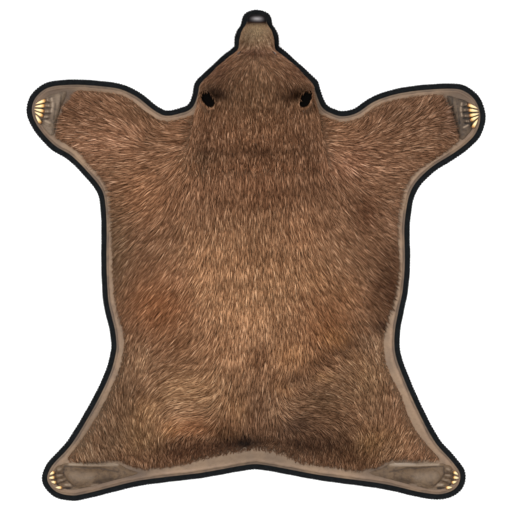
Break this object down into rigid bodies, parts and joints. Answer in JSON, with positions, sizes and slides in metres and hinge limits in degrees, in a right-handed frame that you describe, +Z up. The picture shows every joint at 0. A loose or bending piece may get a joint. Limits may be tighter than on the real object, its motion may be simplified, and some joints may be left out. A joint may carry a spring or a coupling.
{
  "type": "bearskin rug",
  "caption": "Spread brown bear pelt on black felt with a mounted head, clawed forepaws and hind feet with their soles turned up.",
  "frame": {"origin": "middle of the felt's outline, on the floor under it", "axes": "+Y along the spine towards the nose, +X towards the picture's right, +Z up from the floor"},
  "size_m": [1.9748, 2.113, 0.231],
  "materials": {
    "felt": "dense black wool felt",
    "hide_skin": "bare tanned skin, dull, darker on its rolled rim",
    "fur": "brown fur in locks, golden on the back and darker at head and haunches",
    "paw_leather": "grey-brown bare paw leather with fine wrinkles",
    "claw_horn": "polished cream horn, orange at the root",
    "nose_pad": "black pebbled skin with a wet gloss",
    "eye_glass": "dark brown glass"
  },
  "bodies": {
    "root": {"felt_backing": "felt", "hide": "hide_skin", "fur_coat": "fur", "head": "fur", "nose": "nose_pad", "ear_left": "fur", "eye_left": "eye_glass", "ear_right": "fur", "eye_right": "eye_glass", "forepaw_left": "paw_leather", "foreclaw_left_1": "claw_horn", "foreclaw_left_2": "claw_horn", "foreclaw_left_3": "claw_horn", "foreclaw_left_4": "claw_horn", "foreclaw_left_5": "claw_horn", "forepaw_right": "paw_leather", "foreclaw_right_1": "claw_horn", "foreclaw_right_2": "claw_horn", "foreclaw_right_3": "claw_horn", "foreclaw_right_4": "claw_horn", "foreclaw_right_5": "claw_horn", "hind_foot_left": "paw_leather", "hind_claw_left_1": "claw_horn", "hind_claw_left_2": "claw_horn", "hind_claw_left_3": "claw_horn", "hind_claw_left_4": "claw_horn", "hind_foot_right": "paw_leather", "hind_claw_right_1": "claw_horn", "hind_claw_right_2": "claw_horn", "hind_claw_right_3": "claw_horn", "hind_claw_right_4": "claw_horn"}
  },
  "joints": []
}
